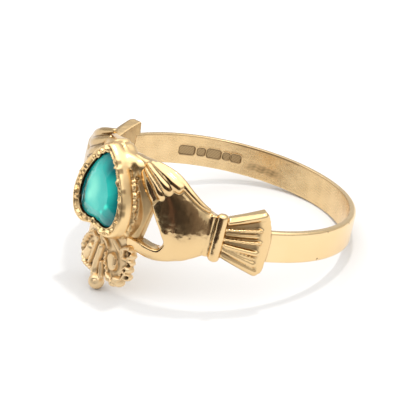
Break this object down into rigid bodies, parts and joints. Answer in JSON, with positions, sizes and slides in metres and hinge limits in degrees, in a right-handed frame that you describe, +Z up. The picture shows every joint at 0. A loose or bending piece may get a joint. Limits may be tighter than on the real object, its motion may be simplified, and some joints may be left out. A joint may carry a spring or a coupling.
{
  "type": "claddagh ring",
  "caption": "Gold-coloured claddagh ring lying on its side: cuffed hands hold a crowned heart setting with a faceted teal heart stone on a plain band.",
  "frame": {"origin": "middle of the finger hole", "axes": "-Y from the finger hole to the head, +Z up, +X towards the near hand; the hoop's axis leans from +Z towards +Y by the rest tilt"},
  "size_m": [0.0183, 0.0198, 0.0103],
  "materials": {
    "gold": "worn polished yellow gold",
    "stone": "faceted translucent teal green chalcedony"
  },
  "bodies": {
    "root": {"ring_body": "gold", "heart_stone": "stone"}
  },
  "joints": []
}
